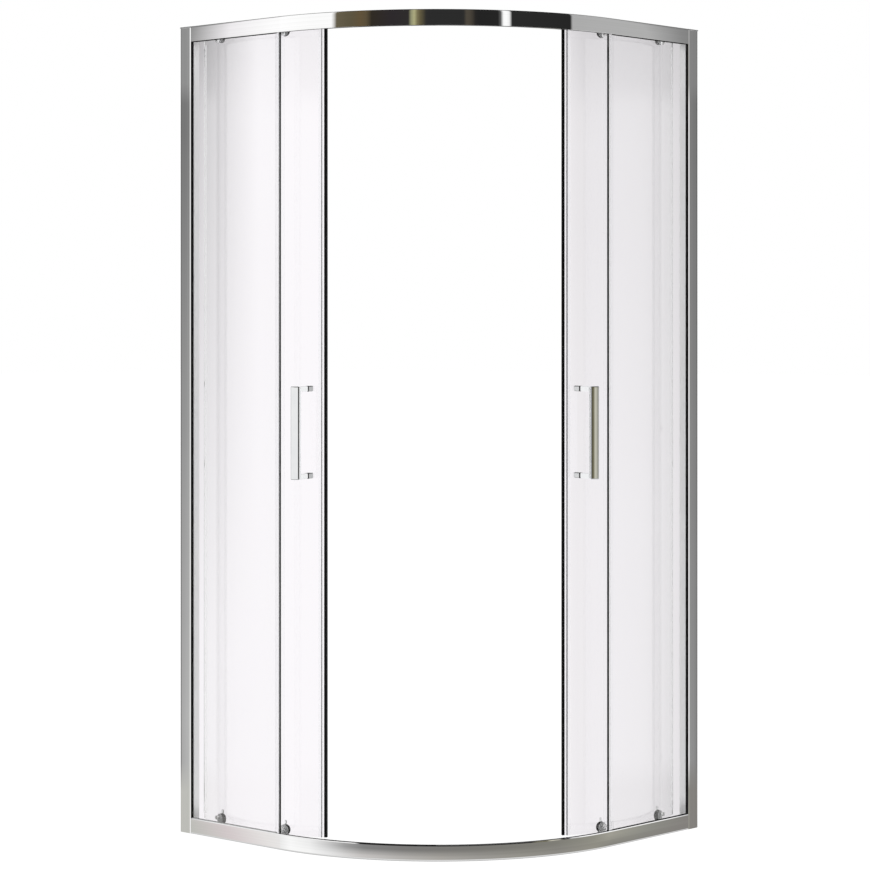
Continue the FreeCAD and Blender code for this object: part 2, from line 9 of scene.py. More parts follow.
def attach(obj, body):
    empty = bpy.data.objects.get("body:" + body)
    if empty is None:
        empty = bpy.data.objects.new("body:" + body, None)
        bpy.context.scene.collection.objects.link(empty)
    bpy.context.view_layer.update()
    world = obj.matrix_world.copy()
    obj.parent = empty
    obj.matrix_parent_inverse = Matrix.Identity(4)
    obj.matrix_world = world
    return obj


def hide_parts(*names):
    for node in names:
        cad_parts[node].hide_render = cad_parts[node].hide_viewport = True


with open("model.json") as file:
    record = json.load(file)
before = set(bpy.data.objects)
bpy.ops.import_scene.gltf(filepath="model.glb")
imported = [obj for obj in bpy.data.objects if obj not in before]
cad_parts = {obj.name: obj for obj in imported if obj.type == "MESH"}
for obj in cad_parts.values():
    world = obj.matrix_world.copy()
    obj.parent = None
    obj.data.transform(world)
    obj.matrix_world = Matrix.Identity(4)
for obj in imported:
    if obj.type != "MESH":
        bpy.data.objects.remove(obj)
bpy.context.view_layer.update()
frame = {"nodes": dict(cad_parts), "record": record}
nodes = frame["nodes"]
print("frame loaded:", len(nodes), "nodes")

mm = 0.001
scene = bpy.context.scene

# the walls stand at x = -span/2 and y = +span/2, the curved front looks towards +X -Y
enclosure = {
    "span": 870.0,
    "height": 1900.0,
    "bendRadius": 535.0,
    "bendX": -100.0,
    "bendY": 100.0,
}
half = enclosure["span"] / 2


# camera

cameraPlace = {
    "azimuth": 42.43,  # degrees, the photograph's side
    "away": 6.023,
    "aside": 0.0299,
    "eyeHeight": 1.1743,
    "lens": 111.86,
    "shift": -0.1154,
}


def makeCamera():
    turn = math.radians(cameraPlace["azimuth"])
    toCamera = Vector((math.sin(turn), -math.cos(turn), 0))
    toRight = Vector((math.cos(turn), math.sin(turn), 0))
    reach = enclosure["bendRadius"] * math.sqrt(0.5)
    middle = Vector((enclosure["bendX"] + reach, enclosure["bendY"] - reach, 0)) * mm
    data = bpy.data.cameras.new("camera")
    data.lens = cameraPlace["lens"]
    data.sensor_width = 36
    data.shift_y = cameraPlace["shift"]
    camera = bpy.data.objects.new("camera", data)
    camera.location = middle + toCamera * cameraPlace["away"] - toRight * cameraPlace["aside"]
    camera.location.z = cameraPlace["eyeHeight"]
    camera.rotation_euler = (math.radians(90), 0, turn)
    scene.collection.objects.link(camera)
    scene.camera = camera


makeCamera()
scene.view_settings.view_transform = "Standard"
print("camera placed")


# node helpers

class Number:
    # a number in a shader, so that sums on it are written as sums
    def __init__(self, finish, socket):
        self.finish = finish
        self.socket = socket

    def join(self, operation, first, second):
        node = self.finish.add("ShaderNodeMath", {"operation": operation}, {0: first, 1: second})
        return Number(self.finish, node.outputs[0])

    def __add__(self, other):
        return self.join("ADD", self, other)

    def __radd__(self, other):
        return self.join("ADD", other, self)

    def __sub__(self, other):
        return self.join("SUBTRACT", self, other)

    def __rsub__(self, other):
        return self.join("SUBTRACT", other, self)

    def __mul__(self, other):
        return self.join("MULTIPLY", self, other)

    def __rmul__(self, other):
        return self.join("MULTIPLY", other, self)

    def __truediv__(self, other):
        return self.join("DIVIDE", self, other)

    def orMore(self, other):
        return self.join("MAXIMUM", self, other)


class Finish:
    # a node tree of a material or the world
    def __init__(self, owner):
        owner.use_nodes = True
        self.owner = owner
        self.tree = owner.node_tree
        self.tree.nodes.clear()

    def add(self, kind, settings=None, sockets=None):
        node = self.tree.nodes.new(kind)
        for key, value in (settings or {}).items():
            if key == "stops":
                self.setStops(node.color_ramp, value)
            else:
                setattr(node, key, value)
        for key, value in (sockets or {}).items():
            if isinstance(value, Number):
                value = value.socket
            if isinstance(value, bpy.types.NodeSocket):
                self.tree.links.new(value, node.inputs[key])
            else:
                node.inputs[key].default_value = value
        return node

    def setStops(self, ramp, stops):
        while len(ramp.elements) > 1:
            ramp.elements.remove(ramp.elements[0])
        for count, (place, color) in enumerate(stops):
            element = ramp.elements[0] if count == 0 else ramp.elements.new(place)
            element.position = place
            element.color = tone(color)

    def number(self, node, output=0):
        return Number(self, node.outputs[output])

    def where(self):
        return self.add("ShaderNodeTexCoord").outputs["Object"]

    def noise(self, scale, detail=3.0, roughness=0.5):
        # fractal noise, scale given per metre along each axis
        place = self.add("ShaderNodeMapping", {}, {"Vector": self.where(), "Scale": scale})
        node = self.add(
            "ShaderNodeTexNoise", {},
            {"Vector": place.outputs[0], "Scale": 1.0, "Detail": detail, "Roughness": roughness},
        )
        return self.number(node, "Fac")

    def spread(self, value, low, high, fromLow=0.3, fromHigh=0.7):
        # value moved from one range to another and held there
        node = self.add(
            "ShaderNodeMapRange", {"clamp": True},
            {"Value": value, "From Min": fromLow, "From Max": fromHigh, "To Min": low, "To Max": high},
        )
        return self.number(node)

    def blendColors(self, amount, first, second):
        node = self.add("ShaderNodeMix", {"data_type": "RGBA"}, {0: amount, 6: first, 7: second})
        return node.outputs[2]

    def bump(self, height, strength, distance):
        node = self.add("ShaderNodeBump", {}, {"Height": height, "Strength": strength, "Distance": distance})
        return node.outputs[0]

    def principled(self, sockets):
        shader = self.add("ShaderNodeBsdfPrincipled", {}, sockets)
        self.add("ShaderNodeOutputMaterial", {}, {"Surface": shader.outputs[0]})
        return self.owner


def tone(color):
    # a grey, or three channels, as four
    if isinstance(color, (int, float)):
        color = (color, color, color)
    return (*color, 1.0)


def newFinish(name):
    return Finish(bpy.data.materials.new(name))


# finishes

def polishedAluminium(name, drawn):
    # drawn: scale of the lines left by the die, along the bar; faces marked inside are left satin
    finish = newFinish(name)
    inside = finish.number(finish.add("ShaderNodeAttribute", {"attribute_name": "inside"}), "Fac")
    lines = finish.noise(drawn, 2.0)
    cloud = finish.noise((9.0, 9.0, 9.0), 4.0)
    worn = finish.spread(lines, 0, 0.7) + finish.spread(cloud, 0, 0.3)
    return finish.principled({
        "Base Color": finish.blendColors(worn, tone((0.91, 0.91, 0.905)), tone((0.99, 0.99, 0.99))),
        "Metallic": 1.0,
        "Roughness": finish.spread(cloud, 0.006, 0.02) + inside * 0.4,
        "Normal": finish.bump(lines, 0.01, 0.0001),
    })


def chromePlate():
    finish = newFinish("chromePlate")
    smear = finish.noise((60.0, 60.0, 35.0), 4.0, 0.6)
    dull, bright = tone((0.90, 0.91, 0.92)), tone((0.95, 0.955, 0.96))
    return finish.principled({
        "Base Color": finish.blendColors(finish.spread(smear, 0, 1), dull, bright),
        "Metallic": 1.0,
        "Roughness": finish.spread(smear, 0.02, 0.06),
    })


def coverPlate():
    # a pale face; the side wall is marked on the mesh and is black
    finish = newFinish("coverPlate")
    smear = finish.spread(finish.noise((90.0, 90.0, 60.0), 4.0), 0, 1)
    wall = finish.number(finish.add("ShaderNodeAttribute", {"attribute_name": "wall"}), "Fac")
    face = finish.blendColors(smear, tone((0.93, 0.93, 0.93)), tone((0.98, 0.98, 0.98)))
    return finish.principled({
        "Base Color": finish.blendColors(wall, face, tone((0.002, 0.002, 0.002))),
        "Roughness": finish.spread(smear, 0.3, 0.4) + wall * 0.2,
        "Specular IOR Level": 0.3,
    })


def clearGlass():
    # the ground edges are marked on the mesh and let no light in
    finish = newFinish("clearGlass")
    film = finish.noise((3.0, 3.0, 1.2), 3.0)
    face = finish.blendColors(finish.spread(film, 0, 1), tone((0.972, 0.972, 0.975)), tone((0.98, 0.98, 0.982)))
    edge = finish.add("ShaderNodeAttribute", {"attribute_name": "edge"}).outputs["Fac"]
    return finish.principled({
        "Base Color": finish.blendColors(edge, face, tone((0.10, 0.16, 0.14))),
        "Roughness": finish.spread(film, 0.0, 0.012, 0.45, 0.8),
        "Transmission Weight": 1.0,
        "IOR": 1.5,
    })


def clearVinyl():
    finish = newFinish("clearVinyl")
    flow = finish.noise((90.0, 90.0, 3.0), 3.0)
    cloudy, clear = tone((0.96, 0.965, 0.97)), tone((0.985, 0.985, 0.985))
    return finish.principled({
        "Base Color": finish.blendColors(finish.spread(flow, 0, 1), cloudy, clear),
        "Roughness": finish.spread(flow, 0.02, 0.1),
        "Transmission Weight": 1.0,
        "IOR": 1.2,
    })


def blackRubber(name, low, high, roughLow, roughHigh, foot=None):
    # foot: a paler tone painted on the strips along the bottom, a painted sheen of strong light reflected there
    finish = newFinish(name)
    grain = finish.noise((700.0, 700.0, 500.0), 5.0, 0.6)
    dust = finish.noise((20.0, 20.0, 6.0), 4.0)
    color = finish.blendColors(finish.spread(dust, 0, 1), tone(low), tone(high))
    if foot:
        # painted sheen: below 0.4 m the strips take the pale foot tone, above 0.5 m the rubber's own colour
        height = finish.number(finish.add("ShaderNodeSeparateXYZ", {}, {0: finish.where()}), "Z")
        color = finish.blendColors(finish.spread(height, 0, 1, 0.4, 0.5), tone(foot), color)
    return finish.principled({
        "Base Color": color,
        "Roughness": finish.spread(dust, roughLow, roughHigh),
        "Specular IOR Level": 0.2,
        "Normal": finish.bump(grain, 0.25, 0.0002),
    })


def stainlessScrew():
    finish = newFinish("stainlessScrew")
    lathe = finish.noise((1500.0, 1500.0, 1500.0), 3.0)
    return finish.principled({
        "Base Color": finish.blendColors(lathe, tone((0.74, 0.74, 0.73)), tone((0.86, 0.86, 0.85))),
        "Metallic": 1.0,
        "Roughness": finish.spread(lathe, 0.18, 0.34),
    })


def plastic(name, low, high, roughLow, roughHigh):
    finish = newFinish(name)
    skin = finish.noise((400.0, 400.0, 400.0), 4.0)
    flow = finish.noise((35.0, 35.0, 35.0), 2.0)
    return finish.principled({
        "Base Color": finish.blendColors(finish.spread(flow, 0, 1), tone(low), tone(high)),
        "Roughness": finish.spread(flow, roughLow, roughHigh),
        "Normal": finish.bump(skin, 0.12, 0.0001),
    })


def springSteel():
    finish = newFinish("springSteel")
    wire = finish.noise((900.0, 900.0, 900.0), 2.0)
    return finish.principled({
        "Base Color": finish.blendColors(wire, tone((0.42, 0.42, 0.43)), tone((0.60, 0.60, 0.60))),
        "Metallic": 1.0,
        "Roughness": finish.spread(wire, 0.2, 0.35),
    })


finishes = {
    "polished_aluminium": polishedAluminium("polishedAluminium", (0.6, 0.6, 500.0)),
    "clear_glass": clearGlass(),
    "black_rubber": blackRubber("blackRubber", 0.004, 0.008, 0.5, 0.65),
    "clear_vinyl": clearVinyl(),
    "black_magnet": blackRubber("blackMagnet", 0.001, 0.003, 0.45, 0.6),
    "chrome_plate": chromePlate(),
    "stainless_screw": stainlessScrew(),
    "white_nylon": plastic("whiteNylon", (0.78, 0.78, 0.765), (0.86, 0.86, 0.85), 0.35, 0.5),
    "grey_plastic": plastic("greyPlastic", (0.42, 0.42, 0.42), (0.5, 0.5, 0.5), 0.3, 0.45),
    "spring_steel": springSteel(),
}
uprightAluminium = polishedAluminium("uprightAluminium", (500.0, 500.0, 0.6))
coverFinish = coverPlate()
slotOf = {entry["node"]: entry["material_slot"] for entry in frame["record"]["subparts"]}
for name, node in nodes.items():
    node.data.materials.clear()
    node.data.materials.append(finishes[slotOf[name]])
# the left rail gaskets get a painted sheen: a pale tone painted along their bottom strip
rubberPaintedSheen = blackRubber("rubberPaintedSheen", 0.004, 0.008, 0.5, 0.65, 0.5)
nodes["rail_gaskets_left"].data.materials[0] = rubberPaintedSheen
print("finishes made:", len(finishes))


# mesh helpers

acrossPanels = Matrix(((0, -1, 0, 0), (-1, 0, 0, 0), (0, 0, 1, 0), (0, 0, 0, 1)))  # left panel to right panel
inMetres = Matrix.Scale(mm, 4)
sharpFrom = math.radians(30)


def ring(bm, corners):
    # a closed loop of edges through a few (x, y) corners
    verts = [bm.verts.new((x, y, 0)) for x, y in corners]
    for count, vert in enumerate(verts):
        bm.edges.new((vert, verts[(count + 1) % len(verts)]))
    return verts


def roundCorners(bm, verts, radius, segments=4):
    bmesh.ops.bevel(
        bm, geom=verts, offset=radius, offset_type="OFFSET", segments=segments,
        profile=0.5, affect="VERTICES", material=-1,
    )


def roundEdges(bm, edges, radius, segments=3):
    bmesh.ops.bevel(
        bm, geom=edges, offset=radius, offset_type="OFFSET", segments=segments,
        profile=0.5, affect="EDGES", material=-1, clamp_overlap=True,
    )


def move(bm, matrix):
    bmesh.ops.transform(bm, matrix=matrix, verts=bm.verts)


def block(bm, low, high):
    # a box between two corners
    size = [b - a for a, b in zip(low, high)]
    middle = [(a + b) / 2 for a, b in zip(low, high)]
    made = bmesh.ops.create_cube(bm, size=1.0)
    bmesh.ops.scale(bm, vec=size, verts=made["verts"])
    bmesh.ops.translate(bm, vec=middle, verts=made["verts"])
    return made["verts"]


def edgesOf(verts):
    # each edge once, in a steady order
    return list(dict.fromkeys(edge for vert in verts for edge in vert.link_edges))


def onlyVerts(made):
    return [item for item in made if isinstance(item, bmesh.types.BMVert)]


def onlyEdges(made):
    return [item for item in made if isinstance(item, bmesh.types.BMEdge)]


def joinInto(bm, other):
    # the second mesh becomes part of the first
    mesh = bpy.data.meshes.new("joined")
    other.to_mesh(mesh)
    other.free()
    bm.from_mesh(mesh)
    bpy.data.meshes.remove(mesh)


def addPiece(name, bm, slot, body, replaced):
    move(bm, inMetres)
    bmesh.ops.remove_doubles(bm, verts=bm.verts, dist=1e-7)
    bmesh.ops.recalc_face_normals(bm, faces=bm.faces)
    mesh = bpy.data.meshes.new(name)
    bm.to_mesh(mesh)
    bm.free()
    mesh.materials.append(finishes[slot])
    mesh.shade_smooth()
    mesh.set_sharp_from_angle(angle=sharpFrom)
    piece = bpy.data.objects.new(name, mesh)
    evened = piece.modifiers.new("flat faces stay flat", "WEIGHTED_NORMAL")
    evened.keep_sharp = True
    evened.weight = 100  # the broad faces decide
    scene.collection.objects.link(piece)
    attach(piece, body)
    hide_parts(replaced)
    return piece


# rails

railShape = {
    "depth": 31.0,
    "height": 36.0,
    "skin": 1.6,
    "round": 1.5,
    "grooveWide": 8.0,  # takes the glass and its strip
    "grooveDeep": 20.6,
    "channel": 11.0,  # from here inward the rollers run
    "lip": 1.2,
    "lipHang": 1.0,
    "ledgeUnder": 11.0,
    "ledgeTop": 13.0,
    "ledgeLip": 15.0,
    "portFloor": 4.0,  # ports for the end screws
    "ports": (18.5, 21.5, 28.5),
    "bendSteps": 120,
    "postWidth": 38.2,
    "easeOpen": (2.2, 0.5),  # along the face and into it, at the door side
    "easeOpenTop": (0.4, 0.2),
    "easeClosed": (4.5, 0.3),
}


def railLoop(bm, openEase):
    # section of the rail: x inward from the outer face, y up from the door side
    shape = railShape
    openLong, openDeep = openEase
    closedLong, closedDeep = shape["easeClosed"]
    deep, high, skin, channel = shape["depth"], shape["height"], shape["skin"], shape["channel"]
    lipAt, under = deep - shape["lip"], shape["ledgeUnder"]
    firstEnd, secondStart, secondEnd = shape["ports"]
    grooveAt = skin + shape["grooveWide"]
    verts = ring(bm, [
        (openDeep, 0), (0, openLong), (0, high - closedLong), (closedDeep, high), (deep, high),
        (deep, high - skin - shape["lipHang"]), (lipAt, high - skin - shape["lipHang"]), (lipAt, high - skin),
        (channel, high - skin), (channel, shape["ledgeTop"]), (lipAt, shape["ledgeTop"]), (lipAt, shape["ledgeLip"]),
        (deep, shape["ledgeLip"]), (deep, under), (secondEnd, under), (secondEnd, shape["portFloor"]),
        (secondStart, shape["portFloor"]), (secondStart, under), (firstEnd, under), (firstEnd, shape["portFloor"]),
        (channel, shape["portFloor"]), (channel, 0), (grooveAt, 0), (grooveAt, shape["grooveDeep"]),
        (skin, shape["grooveDeep"]), (skin, 0),
    ])
    roundCorners(bm, [verts[3], verts[4]], shape["round"], 5)


def makeRail(name, node, turnedOver):
    bm = bmesh.new()
    railLoop(bm, railShape["easeOpen"] if turnedOver else railShape["easeOpenTop"])
    # stand the section up where the left straight meets the bend, facing along +X
    upright = Matrix.Rotation(math.radians(90), 4, "Z") @ Matrix.Rotation(math.radians(90), 4, "X")
    move(bm, Matrix.Translation((enclosure["bendX"], -half, 0)) @ upright)
    first = list(bm.edges)
    turned = bmesh.ops.spin(
        bm, geom=list(bm.verts) + first, cent=(enclosure["bendX"], enclosure["bendY"], 0), axis=(0, 0, 1),
        angle=math.radians(90), steps=railShape["bendSteps"], use_merge=False, use_duplicate=False,
    )
    last = onlyEdges(turned["geom_last"])
    run = half + enclosure["bendX"] - railShape["postWidth"]
    for edges, way in ((first, (-run, 0, 0)), (last, (0, run, 0))):
        made = bmesh.ops.extrude_edge_only(bm, edges=edges)["geom"]
        bmesh.ops.translate(bm, vec=way, verts=onlyVerts(made))
        bmesh.ops.holes_fill(bm, edges=onlyEdges(made), sides=0)
    if turnedOver:
        move(bm, Matrix.Translation((0, 0, railShape["height"])) @ Matrix.Scale(-1, 4, (0, 0, 1)))
    else:
        move(bm, Matrix.Translation((0, 0, enclosure["height"] - railShape["height"])))
    addPiece(name, bm, "polished_aluminium", "frame", node)


makeRail("topRail", "top_rail", False)
makeRail("bottomRail", "bottom_rail", True)
print("rails made")


# posts and their caps

postShape = {
    "width": 37.0,
    "standOff": 1.2,
    "depth": 31.0,
    "skin": 1.6,
    "groove": 8.0,  # takes the glass and its strip
    "web": (20.0, 22.0),
    "round": 1.5,
    "top": 1898.0,
    "easeLong": 3.6,  # both long edges of the front fall away a little
    "easeDeep": 0.5,
    "easeEnd": 0.3,
    "easeTurn": 0.5,
}

capShape = {
    "near": 0.4,
    "over": 0.8,
    "low": 1896.6,
    "high": 1900.0,
    "round": 1.4,
}


def makePost(side, node):
    bm = bmesh.new()
    shape = postShape
    wide, near, deep, skin = shape["width"], shape["standOff"], shape["depth"], shape["skin"]
    long, ease, end = shape["easeLong"], shape["easeDeep"], shape["easeEnd"]
    webRear, webFront = shape["web"]
    turnIn = ease + shape["easeTurn"]
    grooveAt = skin + shape["groove"]
    verts = ring(bm, [
        (near + long, 0), (wide - long, 0), (wide - end, ease), (wide, turnIn), (wide, skin), (webFront, skin),
        (webFront, grooveAt), (wide, grooveAt), (wide, deep), (near, deep), (near, deep - skin),
        (webRear, deep - skin), (webRear, skin), (near, skin), (near, turnIn), (near + end, ease),
    ])
    bm.faces.new(verts)
    roundCorners(bm, [verts[8]], shape["round"], 5)
    made = bmesh.ops.extrude_face_region(bm, geom=list(bm.faces))["geom"]
    bmesh.ops.translate(bm, vec=(0, 0, shape["top"]), verts=onlyVerts(made))
    mark = bm.faces.layers.float.new("inside")
    for face in bm.faces:
        face[mark] = float(face.calc_center_median().y > skin + 0.1)
    move(bm, Matrix.Translation((-half, -half, 0)))
    if side == "right":
        move(bm, acrossPanels)
    post = addPiece("post" + side.capitalize(), bm, "polished_aluminium", "frame", node)
    post.data.materials[0] = uprightAluminium


def makePostCaps():
    bm = bmesh.new()
    shape = capShape
    plate = block(
        bm, (shape["near"], -shape["over"], shape["low"]),
        (postShape["width"] + shape["over"], postShape["depth"] + shape["over"], shape["high"]),
    )
    roundEdges(bm, [edge for edge in edgesOf(plate) if edge.calc_length() > 5], shape["round"], 4)
    move(bm, Matrix.Translation((-half, -half, 0)))
    other = bm.copy()
    move(other, acrossPanels)
    joinInto(bm, other)
    addPiece("postCaps", bm, "chrome_plate", "frame", "post_caps")


makePost("left", "frame_post_left")
makePost("right", "frame_post_right")
makePostCaps()
print("posts made")


# where a door's pieces go

doorPlace = {
    "inset": 50.5,
    "pole": (-206.85086, 521.68942),  # the door's hinge line
    "swing": -0.3336657,  # radians, from shut to open
    "glass": 3.0,  # half its thickness
    "low": 24.0,
    "top": 1878.0,
    "glassStart": 13.4,
    "glassEnd": 402.9,
}
doorRadius = enclosure["bendRadius"] - doorPlace["inset"]
fixedPane = {
    "rear": -411.0,
    "front": {"left": -102.5, "right": -100.0},
    "outer": 2.6,
    "thick": 6.0,
    "low": 17.0,
    "top": 1883.0,
    "arris": 0.5,
}
rollerPlace = {
    "front": 112.0,
    "pitch": 212.0,  # straight between the two
}
rollerRear = rollerPlace["front"] + 2 * doorRadius * math.asin(rollerPlace["pitch"] / 2 / doorRadius)


def bearing(along):
    # angle in the plan of a place along the shut left door
    return -math.pi / 4 - along / doorRadius


def opening(side):
    # from the shut left door, in the plan, to where this door stands open
    poleX, poleY = doorPlace["pole"]
    swung = (
        Matrix.Translation((poleX, poleY, 0)) @ Matrix.Rotation(doorPlace["swing"], 4, "Z")
        @ Matrix.Translation((-poleX, -poleY, 0))
    )
    return acrossPanels @ swung if side == "right" else swung


def onDoor(bm, along, side):
    # x along the door to its rear, y outward from the middle of the glass
    angle = bearing(along)
    base = (enclosure["bendX"] + doorRadius * math.cos(angle), enclosure["bendY"] + doorRadius * math.sin(angle), 0)
    move(bm, opening(side) @ Matrix.Translation(base) @ Matrix.Rotation(angle - math.pi / 2, 4, "Z"))


def makeFixedGlass(side):
    bm = bmesh.new()
    pane = block(
        bm, (fixedPane["rear"], -half + fixedPane["outer"], fixedPane["low"]),
        (fixedPane["front"][side], -half + fixedPane["outer"] + fixedPane["thick"], fixedPane["top"]),
    )
    roundEdges(bm, edgesOf(pane), fixedPane["arris"], 1)
    mark = bm.faces.layers.float.new("edge")
    for face in bm.faces:
        face[mark] = float(min(edge.calc_length() for edge in face.edges) < fixedPane["thick"] + 1)
    if side == "right":
        move(bm, acrossPanels)
    addPiece("fixedGlass" + side.capitalize(), bm, "clear_glass", "frame", "fixed_glass_" + side)


def makeDoorGlass(side):
    bm = bmesh.new()
    inner, outer = doorRadius - doorPlace["glass"], doorRadius + doorPlace["glass"]
    low, top = doorPlace["low"], doorPlace["top"]
    start, end = bearing(doorPlace["glassStart"]), bearing(doorPlace["glassEnd"])
    corners = ((inner, low), (outer, low), (outer, top), (inner, top))  # the closing edge, swept to the rear
    bm.faces.new([bm.verts.new((radius, 0, level)) for radius, level in corners])
    bmesh.ops.rotate(bm, cent=(0, 0, 0), matrix=Matrix.Rotation(start, 3, "Z"), verts=bm.verts)
    bmesh.ops.spin(
        bm, geom=list(bm.faces) + list(bm.edges) + list(bm.verts), cent=(0, 0, 0), axis=(0, 0, 1),
        angle=end - start, steps=72, use_merge=False, use_duplicate=False,
    )
    mark = bm.faces.layers.float.new("edge")
    for face in bm.faces:
        broad = face.calc_area() > (top - low) * 5 and abs(face.normal.z) < 0.5
        face[mark] = float(not broad)
    move(bm, opening(side) @ Matrix.Translation((enclosure["bendX"], enclosure["bendY"], 0)))
    addPiece("doorGlass" + side.capitalize(), bm, "clear_glass", "door_" + side, "door_glass_" + side)


for side in ("left", "right"):
    makeFixedGlass(side)
    makeDoorGlass(side)
print("glass made")


# magnet strips down the front edges of the doors

magnetShape = {
    "front": 0.3,
    "long": 6.3,
    "thick": {"left": 9.0, "right": 5.6},
    "low": 25.0,
    "high": 1877.0,
    "round": 0.6,
}


def makeMagnet(side):
    shape = magnetShape
    bm = bmesh.new()
    across = shape["thick"][side] / 2
    strip = block(bm, (0, -across, shape["low"]), (shape["long"] - shape["front"], across, shape["high"]))
    roundEdges(bm, edgesOf(strip), shape["round"], 2)
    onDoor(bm, shape["front"], side)
    addPiece("magnetStrip" + side.capitalize(), bm, "black_magnet", "door_" + side, "magnet_strip_" + side)


for side in ("left", "right"):
    makeMagnet(side)
print("magnet strips made")


# handles

handleShape = {
    "back": 52.5,
    "levels": (850.0, 1050.0),
    "stem": 13.0,
    "low": 4.2,
    "reach": 44.0,
    "thick": 12.0,
    "wide": 22.0,
    "crown": 0.4,  # the front of the bar swells this much
    "crownSteps": 8,
    "round": 2.5,
    "rootDeep": 0.5,  # the stems run this far into the bar
    "sleeve": 12.6,
}


def makeHandle(side):
    shape = handleShape
    bm = bmesh.new()
    barLow = shape["low"] + shape["reach"]
    across = shape["wide"] / 2
    front = barLow + shape["thick"]
    foot = shape["levels"][0] - shape["stem"] / 2
    steps = [1 - 2 * step / shape["crownSteps"] for step in range(shape["crownSteps"] + 1)]
    crowned = [(across * step, front - shape["crown"] * step * step) for step in steps]
    bar = bm.faces.new([bm.verts.new((x, y, foot)) for x, y in [(-across, barLow), (across, barLow)] + crowned])
    made = bmesh.ops.extrude_face_region(bm, geom=[bar])["geom"]
    tall = shape["levels"][1] - shape["levels"][0] + shape["stem"]
    bmesh.ops.translate(bm, vec=(0, 0, tall), verts=onlyVerts(made))
    sharp = [edge for edge in bm.edges if edge.calc_face_angle(0) > math.radians(60)]
    roundEdges(bm, sharp, shape["round"], 6)
    for level in shape["levels"]:
        stem = block(
            bm, (-shape["stem"] / 2, shape["low"], level - shape["stem"] / 2),
            (shape["stem"] / 2, barLow + shape["rootDeep"], level + shape["stem"] / 2),
        )
        long = [edge for edge in edgesOf(stem) if abs((edge.verts[0].co - edge.verts[1].co).normalized().y) > 0.9]
        roundEdges(bm, long, shape["round"], 4)
    onDoor(bm, shape["back"], side)
    addPiece("handle" + side.capitalize(), bm, "chrome_plate", "door_" + side, "handle_" + side)


def makeSleeves(side):
    # black sleeves of the handle, through the glass
    shape = handleShape
    bm = bmesh.new()
    thick = shape["sleeve"] / 2
    for level in shape["levels"]:
        block(bm, (-thick, -shape["low"], level - thick), (thick, shape["low"], level + thick))
    onDoor(bm, shape["back"], side)
    addPiece("glassWashers" + side.capitalize(), bm, "black_rubber", "door_" + side, "glass_washers_" + side)


for side in ("left", "right"):
    makeHandle(side)
    makeSleeves(side)
print("handles made")


# round covers of the rollers, inside the glass

coverShape = {
    "radius": 12.5,
    "near": 4.2,
    "round": 3.5,
    "roundSteps": 8,
    "ringRadius": 4.6,  # a fine groove round the screw's cap
    "ringDeep": 0.7,
    "ringSlope": 0.5,
    "ringWide": 1.7,
    "turns": 64,
    "top": 1874.0,
    "topThick": 9.0,
    "bottom": 33.5,  # hangs a little below its bolt
    "bottomThick": 11.0,
}


def coverProfile(thick):
    # from the middle of the near face over the rounded rim to the middle of the far face
    shape = coverShape
    far = -shape["near"] - thick
    bottom = far + shape["ringDeep"]
    ringAt, slope = shape["ringRadius"], shape["ringSlope"]
    ringEnd = ringAt - shape["ringWide"]
    turns = [math.pi / 2 * step / shape["roundSteps"] for step in range(shape["roundSteps"] + 1)]
    rounded = [
        (shape["radius"] - shape["round"] * (1 - math.cos(turn)), far + shape["round"] * (1 - math.sin(turn)))
        for turn in turns
    ]
    return [(0, -shape["near"]), (shape["radius"], -shape["near"])] + rounded + [
        (ringAt, far), (ringAt - slope, bottom), (ringEnd + slope, bottom), (ringEnd, far), (0, far),
    ]


def makeCovers(side, name, level, thick, node):
    shape = coverShape
    bm = bmesh.new()
    for along in (rollerPlace["front"], rollerRear):
        one = bmesh.new()
        verts = [one.verts.new((x, y, 0)) for x, y in coverProfile(thick)]
        edges = [one.edges.new(pair) for pair in zip(verts, verts[1:])]
        bmesh.ops.spin(
            one, geom=verts + edges, cent=(0, 0, 0), axis=(0, 1, 0), angle=2 * math.pi, steps=shape["turns"],
            use_merge=True, use_duplicate=False,
        )
        bmesh.ops.remove_doubles(one, verts=one.verts, dist=1e-4)
        one.normal_update()
        mark = one.faces.layers.float.new("wall")
        for face in one.faces:
            outside = face.calc_center_median().length > shape["radius"] * 0.7
            face[mark] = float(outside and abs(face.normal.y) < 0.9)
        bmesh.ops.translate(one, vec=(0, 0, level), verts=one.verts)
        onDoor(one, along, side)
        joinInto(bm, one)
    covers = addPiece(name + side.capitalize(), bm, "chrome_plate", "door_" + side, node + side)
    covers.data.materials[0] = coverFinish


for side in ("left", "right"):
    makeCovers(side, "topCovers", coverShape["top"], coverShape["topThick"], "top_roller_caps_")
    makeCovers(side, "bottomCovers", coverShape["bottom"], coverShape["bottomThick"], "bottom_roller_housings_")
print("roller covers made")


# studio: floor, backdrop behind the glass, room seen in the metal, lamps, world

studio = {
    "floorReach": 60.0,
    "wallRadius": 8.0,
    "wallTop": 7.0,
    "wallFoot": -3.0,
    "backdropAway": 3.0,
    "backdropWide": 3.2,
    "backdropLow": -1.2,
    "backdropHigh": 3.4,
    "floorDrop": 0.0005,
    "floorTone": 0.16,
    "lamps": {"keyLamp": ((3.0, -5.0, 4.5), 260), "fillLamp": ((5.0, 2.0, 4.0), 120)},  # place and watts
    "lampSize": 3.0,
}

